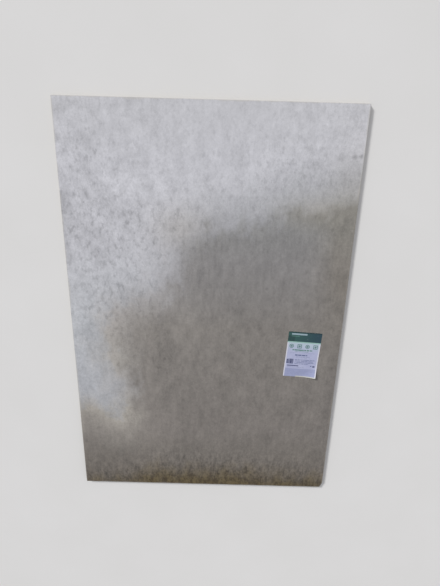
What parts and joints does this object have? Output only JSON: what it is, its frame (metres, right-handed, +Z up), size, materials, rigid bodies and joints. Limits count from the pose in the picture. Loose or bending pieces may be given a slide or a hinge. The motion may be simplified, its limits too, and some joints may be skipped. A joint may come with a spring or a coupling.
{
  "type": "fiber cement backer board",
  "caption": "Rectangular fiber cement sheet lying flat, face up, with square cut edges, one knocked corner, damp and soiled foot, and a paper label with a peeled corner.",
  "frame": {"origin": "middle of the sheet's back, on the floor it lies on", "axes": "+X across the sheet to the side nearest the label, +Y along its length from the soiled foot to the dry head, +Z up out of the face"},
  "size_m": [0.8, 1.2, 0.0208],
  "materials": {
    "fiber_cement": "matt, dry and pale at the head, darkened by damp towards the foot",
    "label_paper": "coated adhesive paper with a dark green band across its head"
  },
  "bodies": {
    "root": {"board": "fiber_cement", "label": "label_paper"}
  },
  "joints": []
}
